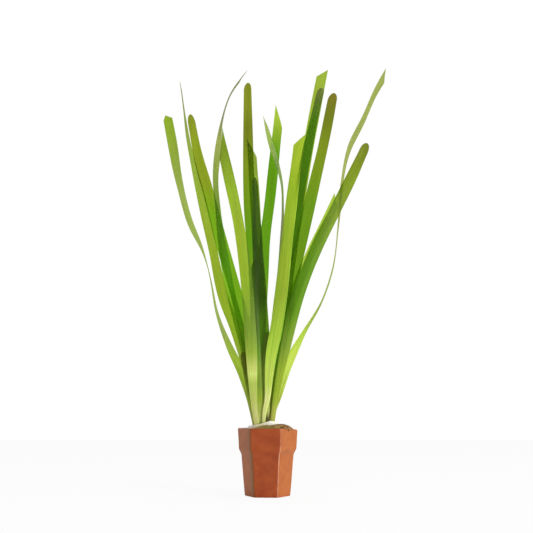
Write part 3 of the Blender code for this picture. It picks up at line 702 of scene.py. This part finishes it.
# Each leaf in mm: root x, layer from front to back, width, a round tip or a cut one (apex, left and right
# drop), stations (x, height, turn in degrees), and skin (height, colour, percent that hides what is behind)
leaves = {
    "leaf_front_left": dict(root=-8.4, layer=0, width=10.6, base=4.4, cut=(1, 26, 0),
        stations=[(-11.2, 74, 0), (-12.6, 95, 2), (-13.5, 113, 6), (-15, 138, 10), (-19.3, 191, 16),
            (-25.7, 234, 22), (-35.2, 279, 28), (-45.2, 323, 32)],
        # the pale stop at 100 mm is a painted highlight on the blade's base
        skin=[(52, "bone", 85), (66, "bone", 85), (79, "husk", 85), (92, "pale", 85), (100, "highlightPale", 85),
            (108, "husk", 80), (118, "reed", 75), (131, "moor", 65), (148, "moor", 45), (175, "spring", 20),
            (220, "lime", 12), (262, "spring", 12), (300, "fern", 12), (330, "fern", 12)]),
    "leaf_front_right": dict(root=-3.2, layer=0, width=10.6, base=2.6, cut=(1, 9.5, 0),
        stations=[(-2.8, 66, 0), (-0.1, 80, 0), (1.3, 98, 0), (3.4, 117, 0), (7.5, 138, -4),
            (12.7, 173, -10), (17.8, 220, -18), (23.8, 271, -24), (29.8, 317, -26)],
        skin=[(52, "bone", 90), (66, "cream", 90), (80, "cream", 90), (92, "barley", 90),
            (104, "barley", 85), (117, "wheat", 85), (132, "apple", 80), (173, "lime", 80), (240, "dew", 80),
            (265, "dew", 50), (288, "dew", 16), (320, "dew", 12)]),
    "leaf_dark_short": dict(root=-5, layer=1, width=7.6, round=5.5,
        stations=[(-6.5, 82, 0), (-9, 116, 6), (-11, 151, 14), (-11, 177, 20), (-10, 199, 24)],
        skin=[(52, "bone", 85), (66, "husk", 85), (78, "flax", 85), (91, "moor", 80), (104, "moor", 75),
            (120, "grass", 60), (140, "shade", 45), (165, "shade", 20), (200, "shade", 12)]),
    "leaf_short_right": dict(root=0.2, layer=1, width=5, base=3, round=3.6,
        stations=[(-0.7, 78, 0), (-1.8, 108, -12), (-0.3, 136, -22)],
        # the dark brown stops at the foot are painted shade for the deep gap behind the front leaves
        skin=[(52, "gapShade", 90), (63, "gapShade", 90), (69, "husk", 85), (78, "flax", 80), (92, "moor", 70),
            (106, "moor", 60), (118, "moss", 60), (136, "moss", 45)]),
    "leaf_short_left": dict(root=-8.5, layer=2, width=5.8, round=4,
        stations=[(-13.5, 78, 0), (-17.5, 99, 10), (-21, 119, 20)],
        skin=[(52, "husk", 85), (75, "flax", 80), (92, "olive", 70), (106, "bark", 60), (119, "bark", 45)]),
    "leaf_dark_middle": dict(root=-0.2, layer=2, width=9.2, base=4.4, round=9, taper=0.45,
        stations=[(-1.2, 91, 0), (-3, 136, 2), (-5.5, 173, 8), (-8.5, 209, 14), (-10, 244, 20),
            (-11.5, 276, 24)],
        # the dark brown stops at the foot are painted shade for the deep gap behind the front leaves
        skin=[(52, "gapShade", 90), (64, "gapShade", 90), (70, "husk", 80), (85, "flax", 70), (105, "moor", 70),
            (125, "grass", 50), (145, "grass", 35), (165, "shade", 15), (276, "shade", 12)]),
    "leaf_arched": dict(root=-8, layer=3, width=8.6, cut=(-1, 0, 12),
        stations=[(-12.5, 87, 0), (-20, 125, 8), (-30.5, 164, 26), (-37.8, 200, 30), (-44, 244, 54),
            (-46.8, 275, 62), (-44.6, 305, 58), (-41.3, 331, 84), (-33.7, 356, 97), (-18.5, 379, 103)],
        skin=[(52, "ivory", 85), (85, "pale", 60), (120, "spring", 25), (180, "clover", 20),
            (250, "dusk", 12), (310, "sedge", 14), (330, "ash", 30), (380, "ash", 30)]),
    "leaf_right_olive": dict(root=3, layer=3, width=11, base=4, widen=110, round=7.5, taper=0.12,
        stations=[(6.8, 78, 0), (15.2, 121, 4), (27, 169, 12), (44.1, 212, 18), (60.6, 245, 22),
            (77.4, 279, 26), (91, 308, 32)],
        skin=[(52, "golden", 90), (66, "golden", 90), (79, "flax", 85), (104, "flax", 75), (125, "moor", 60),
            (155, "grass", 35), (195, "grass", 35), (240, "fern", 42), (275, "olive", 15),
            (308, "bark", 12)]),
    "leaf_left_olive": dict(root=-7, layer=4, width=11, round=9, taper=0.27,
        stations=[(-10.5, 85, 0), (-16.4, 125, 4), (-28.2, 173, 12), (-40.7, 216, 20), (-53.5, 264, 25),
            (-62.1, 294, 28), (-70.6, 336, 34)],
        skin=[(52, "ivory", 85), (90, "pale", 50), (120, "spring", 25), (150, "clover", 30),
            (190, "meadow", 16), (240, "meadow", 12), (272, "khaki", 12), (310, "khaki", 12),
            (336, "bronze", 15)]),
    "leaf_olive_tip": dict(root=2.5, layer=4, width=11, round=7.5, taper=0.13,
        stations=[(5, 87, 0), (11.2, 129, -2), (19.6, 173, -10), (29, 212, -17), (40.9, 264, -23),
            (51.5, 309, -28), (61.1, 357, -32)],
        skin=[(52, "golden", 80), (85, "flax", 60), (110, "clover", 60), (140, "clover", 40),
            (165, "grass", 20), (190, "grass", 12), (250, "grass", 10), (300, "olive", 10),
            (335, "bark", 12), (357, "brown", 18)]),
    "leaf_middle_olive": dict(root=-6.5, layer=5, width=10.6, round=7, taper=0.25,
        stations=[(-7, 95, 0), (-9, 147, -2), (-11.5, 194, -8), (-15.7, 244, -15), (-17.2, 292, -21),
            (-17.8, 331, -25), (-18.3, 367, -28)],
        skin=[(52, "ivory", 80), (100, "pale", 50), (150, "spring", 20), (218, "bright", 12),
            (290, "olive", 12), (322, "bark", 12), (345, "bronze", 13), (367, "bronze", 15)]),
    "leaf_twisted": dict(root=0.5, layer=5, width=8.2, cut=(-1, 0, 9),
        stations=[(2, 95, 0), (8, 151, 12), (12.8, 198, 42), (13.9, 244, 72), (12.7, 272, 70),
            (8.5, 290, 60), (4.1, 305, 53), (-0.2, 322, 61), (-3.2, 334, 78)],
        skin=[(52, "ivory", 80), (100, "pale", 50), (150, "spring", 20), (198, "dusk", 15),
            (230, "smoke", 25), (275, "dusk", 20), (300, "leaf", 45), (315, "leaf", 30),
            (334, "sedge", 20)]),
    "leaf_bright_pointed": dict(root=-5.5, layer=6, width=9.6, cut=(-1, 0, 21),
        stations=[(-7, 95, 0), (-6.1, 138, 2), (-4.1, 180, 8), (-1.9, 220, 14), (2.5, 256, 20),
            (6.8, 298, 25), (11.8, 344, 28)],
        skin=[(52, "ivory", 80), (95, "pale", 50), (150, "spring", 15), (190, "bright", 12),
            (300, "bright", 12), (322, "spring", 12), (334, "apple", 14)]),
    "leaf_tall_dark": dict(root=2.5, layer=6, width=9.7, round=6, taper=0.2,
        stations=[(4.5, 87, 0), (10, 142, -2), (17, 198, -12), (27.5, 251, -20), (34.5, 292, -25),
            (42.5, 331, -28), (49.7, 362, -30)],
        skin=[(52, "golden", 80), (95, "flax", 60), (120, "clover", 50), (145, "grass", 25),
            (190, "bottle", 12), (250, "bottle", 10), (330, "bottle", 12), (362, "pewter", 14)]),
    "leaf_middle_behind": dict(root=-6, layer=7, width=9.2, cut=(-1, 0, 18),
        stations=[(-5.5, 95, 0), (-6, 147, 4), (-8, 194, 12), (-10.5, 244, 19), (-12.6, 279, 23),
            (-14.5, 312, 26)],
        skin=[(52, "ivory", 80), (95, "pale", 50), (150, "spring", 14), (250, "leaf", 12),
            (312, "leaf", 14)]),
    "leaf_right_behind": dict(root=2.2, layer=7, width=8.6, widen=140, cut=(-1, 0, 11),
        stations=[(6.3, 82, 0), (13.2, 125, 0), (23.5, 168, 2), (37, 203, 6), (51.9, 234, 12),
            (63.8, 259, 16)],
        skin=[(52, "golden", 80), (90, "flax", 50), (130, "wheat", 20), (259, "apple", 14)]),
    "leaf_left_needle": dict(root=-8, layer=8, width=9.2, widen=110, cut=(-1, 0, 14),
        stations=[(-13, 87, 0), (-22.4, 121, 6), (-29, 142, 12), (-37.6, 164, 18), (-48.1, 209, 34),
            (-57.3, 249, 38), (-64.5, 279, 50), (-72.1, 313, 74), (-75.7, 336, 88), (-80.6, 367, 91)],
        skin=[(52, "ivory", 80), (95, "pale", 40), (130, "spring", 16), (200, "lime", 14), (300, "leaf", 14),
            (367, "ash", 35)]),
    "leaf_far_right": dict(root=1.7, layer=8, width=9, cut=(-1, 0, 10),
        stations=[(2.9, 63, 0), (9.2, 82, 0), (17.1, 107, 20), (30.7, 134, 65), (47, 162, 81),
            (57.7, 193, 81), (63, 231, 79), (66.2, 264, 70), (73.9, 302, 65), (88.3, 332, 62),
            (99.3, 357, 60), (111.2, 378, 60)],
        skin=[(52, "golden", 85), (70, "golden", 75), (90, "barley", 60), (118, "barley", 40),
            (132, "wheat", 25), (155, "leaf", 18), (230, "sedge", 14), (378, "sedge", 12)]),
    "leaf_far_left": dict(root=-9, layer=9, width=9.8, cut=(0.4, 6.5, 5),
        stations=[(-11.5, 65, 0), (-14.6, 79, 8), (-22.2, 102, 32), (-31.9, 122, 54), (-43.2, 151, 76),
            (-50.4, 185, 90), (-57, 208, 102), (-68.7, 234, 121), (-78.8, 270, 136), (-87.3, 313, 152),
            (-92, 336, 156)],
        skin=[(52, "bone", 85), (75, "husk", 60), (95, "wheat", 45), (115, "wheat", 35), (135, "sage", 22),
            (160, "sage", 18), (200, "sage", 16), (260, "sage", 14), (300, "leaf", 12),
            (336, "spring", 12)]),
    "leaf_tall_cut": dict(root=0.8, layer=9, width=10.8, cut=(1, 14.5, 0),
        stations=[(4.2, 91, 0), (10.5, 134, 4), (18.5, 191, 12), (27, 245, 19), (35.2, 294, 24),
            (43.8, 340, 27), (52, 382.5, 29)],
        skin=[(52, "golden", 80), (95, "flax", 40), (140, "lime", 14), (300, "lime", 12),
            (382, "reed", 12)]),
}


def smoothThrough(rows, count):
    # even samples of cubic pieces through rows of numbers, with the rows' own finite differences as slopes
    rows = np.array(rows, float)
    along = np.concatenate([[0.0], np.cumsum(np.hypot(*np.diff(rows[:, :2], axis=0).T))])
    slopes = np.gradient(rows, along, axis=0)
    at = np.linspace(0.0, along[-1], count)
    i = np.clip(np.searchsorted(along, at, side="right") - 1, 0, len(rows) - 2)
    length = (along[i + 1] - along[i])[:, None]
    t = (at - along[i])[:, None] / length
    return (rows[i] * (1 + 2 * t) * (1 - t) ** 2 + slopes[i] * length * t * (1 - t) ** 2
            + rows[i + 1] * t * t * (3 - 2 * t) + slopes[i + 1] * length * t * t * (t - 1))


def leafFrame(leaf, look, count=400):
    # centre line carried from the front plane to the leaf's own depth along the lines of sight, the direction
    # across the blade as cos(turn) side + sin(turn) front, its width and its run from root to tip
    eye = view.eye
    path = smoothThrough([(leaf["root"], look.foot, 0)] + leaf["stations"], count)
    x, z = path[:, 0] * mm, path[:, 1] * mm
    share = np.clip((path[:, 1] - look.foot) / (look.tallest - look.foot), 0, 1)
    spread = look.layerGap + look.layerSpread * share ** look.spreadPower
    depth = (leaf["layer"] - look.middleLayer) * spread
    reach = (depth - eye[1]) / -eye[1]
    centre = np.column_stack([eye[0] + (x - eye[0]) * reach, depth, eye[2] + (z - eye[2]) * reach])
    along = unit(np.gradient(centre, axis=0))
    side = unit(np.cross((0.0, 1.0, 0.0), along))
    front = np.cross(along, side)
    turn = np.radians(path[:, 2])[:, None]
    blade = np.cos(turn) * side + np.sin(turn) * front
    run = np.concatenate([[0.0], np.cumsum(np.linalg.norm(np.diff(centre, axis=0), axis=1))])
    base = leaf.get("base", min(look.baseWidth, leaf["width"]))
    grown = smoothstep(run / (leaf.get("widen", look.widenLength) * mm))
    width = (base + (leaf["width"] - base) * grown) * mm
    toTip = smoothstep((run / run[-1] - 1 + look.taperShare) / look.taperShare)
    width *= 1 - leaf.get("taper", 0.0) * toTip
    return centre, blade, np.cross(blade, along), width * reach, run, path[:, 1]


def tipDrop(leaf, across):
    # how far the end lies below its apex: a circle's edge on a round tip, two straight lines on a cut one
    if "round" in leaf:
        return leaf["round"] * mm * (1 - np.sqrt(np.clip(1 - across ** 2, 0, 1)))
    apex, left, right = leaf["cut"]
    return mm * (left * np.clip((apex - across) / (1 + apex + 1e-9), 0, 1)
                 + right * np.clip((across - apex) / (1 - apex + 1e-9), 0, 1))


def leafGrid(leaf, look, seed):
    # the blade's skin as loops of points: point = centre + a half width across + (dish a^2 + ripple) out, and
    # half the thickness to either side, which closes at both margins and over the last millimetre of the tip
    centre, blade, out, width, run, height = leafFrame(leaf, look)
    dice = np.random.default_rng(seed)
    columns = look.columns
    a = np.sin(np.linspace(-np.pi / 2, np.pi / 2, columns))
    if "cut" in leaf and abs(leaf["cut"][0]) < 1:
        a[np.argmin(np.abs(a - leaf["cut"][0]))] = leaf["cut"][0]
    loopA = np.concatenate([a, a[-2:0:-1]])
    facing = np.concatenate([np.ones(columns), -np.ones(columns - 2)])
    t = np.linspace(0.0, 1.0, look.rows + 1)[:, None]
    reach = t * run[-1] - tipDrop(leaf, loopA)[None, :] * t ** look.tipSharpness

    def at(values):
        return np.stack([np.interp(reach, run, values[:, k]) for k in range(3)], axis=-1)

    wide = np.interp(reach, run, width / 2)
    share = reach / run[-1]

    def sway(turns):
        return np.sin(share * dice.uniform(*turns) + dice.uniform(0, 6))

    wobble = 1 + look.wobble * sway(look.wobbleTurns) * smoothstep(share / 0.3)
    dish = dice.choice([-1, 1]) * dice.uniform(*look.dish) * mm * smoothstep((share - 0.12) / 0.4)
    ripple = look.ripple * sway(look.rippleTurns) * smoothstep((share - 0.25) / 0.4)
    lift = dish * (loopA ** 2 - 0.5) + ripple * loopA ** 3
    edge = (1 - np.abs(loopA) ** look.edgePower) ** 0.5
    rib = 1 + look.rib * np.exp(-(loopA / look.ribHalf) ** 2)
    tipEase = np.sqrt(np.clip((1 - t) * run[-1] / look.tipRound, 0, 1))
    swell = 1 + look.swell * (1 - smoothstep(reach / look.swellRun))
    shell = 0.5 * look.thick * edge * rib * tipEase * swell * look.skinShare
    points = (at(centre) + at(blade) * (wide * wobble * loopA)[..., None]
              + at(out) * (lift + shell * facing)[..., None])
    uv = np.stack([np.broadcast_to(0.5 + 0.5 * loopA, reach.shape), reach / 0.1 + seed * 1.37], axis=-1)
    stops = np.array([stop[0] for stop in leaf["skin"]], float)
    tones = fromScreen([greens[stop[1]] for stop in leaf["skin"]])
    level = np.interp(reach, run, height)
    colours = np.stack([np.interp(level, stops, tones[:, k]) for k in range(3)]
                       + [np.interp(level, stops, [stop[2] / 100 for stop in leaf["skin"]])], axis=-1)
    return points, uv, colours


def leafPaint(tree, look):
    # a translucent blade: light passes tinted, the painted share is scattered, and a pale film shows at a
    # grazing view. Veins, mottling, greener streaks and the greyer strands of the foot follow the blade's own
    # UV map, and the solid parts have more of them.
    painted = put(tree, "ShaderNodeAttribute", attribute_name="skin")
    solid = painted.outputs["Alpha"]
    blade = put(tree, "ShaderNodeUVMap", uv_map="blade").outputs[0]

    def pattern(name, **place):
        scale, detail, roughness = look[name]
        return noise(tree, stretch(tree, blade, scale, **place), 1.0, detail, roughness)

    veins, broad, specks, streaks = (pattern(name) for name in ("veins", "broad", "specks", "streaks"))
    fromMiddle = maths(tree, "ABSOLUTE", maths(tree, "SUBTRACT", axesOf(tree, blade)["X"], 0.5))
    depth = maths(tree, "ADD", times(tree, solid, look.solidVeins), 1.0)
    tone = maths(tree, "ADD", times(tree, ramp(tree, veins, *look.veined), depth), 1.0)
    for value, name in ((broad, "mottled"), (specks, "specked"), (fromMiddle, "margin")):
        tone = maths(tree, "ADD", tone, ramp(tree, value, *look[name]))
    toned = mixColour(tree, 1.0, painted.outputs["Color"], tone, "MULTIPLY")

    strands = pattern("strands", shift=look.strandShift)
    foot = ramp(tree, axesOf(tree, objectPlace(tree))["Z"], *look.foot)
    streaked = times(tree, solid, look.streakShare)
    for value, share, name in ((specks, 1.0, "yellower"), (streaks, streaked, "greener"),
                               (strands, foot, "greyer")):
        tint, *span = look[name]
        where = times(tree, ramp(tree, value, *span), share)
        toned = mixColour(tree, where, toned, mixColour(tree, 1.0, toned, tint, "MULTIPLY"))

    # light crosses two faces of one leaf, so each passes the square root of its colour
    passed = put(tree, "ShaderNodeGamma", {"Color": toned, "Gamma": 0.5}).outputs[0]
    boost = maths(tree, "ADD", times(tree, solid, look.scatter[1]), look.scatter[0])
    lit = mixColour(tree, 1.0, toned, boost, "MULTIPLY")
    bump = bumps(tree, veins, *look.bump)
    gloss = ramp(tree, veins, *look.gloss)
    through = put(tree, "ShaderNodeBsdfTransparent", {"Color": passed}).outputs[0]
    glow = put(tree, "ShaderNodeBsdfTranslucent", {"Color": lit, "Normal": bump}).outputs[0]
    skin = satin(tree, Base_Color=lit, Roughness=gloss, Normal=bump, Specular_IOR_Level=look.shine)
    film = satin(tree, Base_Color=look.sheenColour, Roughness=gloss, Normal=bump)
    backlit = maths(tree, "ADD", times(tree, solid, look.backlit[1]), look.backlit[0])
    grazing = put(tree, "ShaderNodeFresnel", {"IOR": look.filmBend}).outputs[0]

    def blend(share, first, second):
        return put(tree, "ShaderNodeMixShader", {0: share, 1: first, 2: second}).outputs[0]

    body = blend(solid, through, blend(backlit, skin, glow))
    return blend(times(tree, grazing, look.sheen), body, film)


leafSkin = finished("leafSkin", leafPaint, bladeSkin)
loopLength = 2 * foliage.columns - 2
loops = gridFaces(foliage.rows + 1, loopLength, closeColumns=True)
c = np.arange(foliage.columns - 1)
rootCap = np.column_stack([c, c + 1, (loopLength - c - 1) % loopLength, (loopLength - c) % loopLength])
leafFaces = loops.tolist() + [list(dict.fromkeys(quad)) for quad in rootCap.tolist()]
for seed, (name, leaf) in enumerate(leaves.items(), start=1):
    points, uv, colours = leafGrid(leaf, foliage, seed)
    makePiece(name.replace("leaf_", "blade_"), points, leafFaces, leafSkin, [name], uv, colours)
print("leaves made:", len(leaves))


# Crowns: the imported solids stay, with a fibrous pale finish

crown = Look(streakScale=1400, streakStretch=(1.0, 1.0, 0.12), cream=(0.68, 0.64, 0.38, 1),
             green=((0.45, 0.47, 0.18, 1), 0.35, 0.7), gloss=0.45, bump=(0.4, 0.1 * mm))


def crownPaint(tree, look):
    # pale cream stem with upright streaks
    upright = stretch(tree, objectPlace(tree), look.streakStretch)
    streaks = noise(tree, upright, look.streakScale, 3, 0.6)
    colour = layered(tree, look.cream, (streaks, look.green))
    return satin(tree, Base_Color=colour, Normal=bumps(tree, streaks, *look.bump), Roughness=look.gloss)


paleCrown = finished("paleCrown", crownPaint, crown)
for name in ("crown_left", "crown_right"):
    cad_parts[name].material_slots[0].material = paleCrown
print("crowns finished")
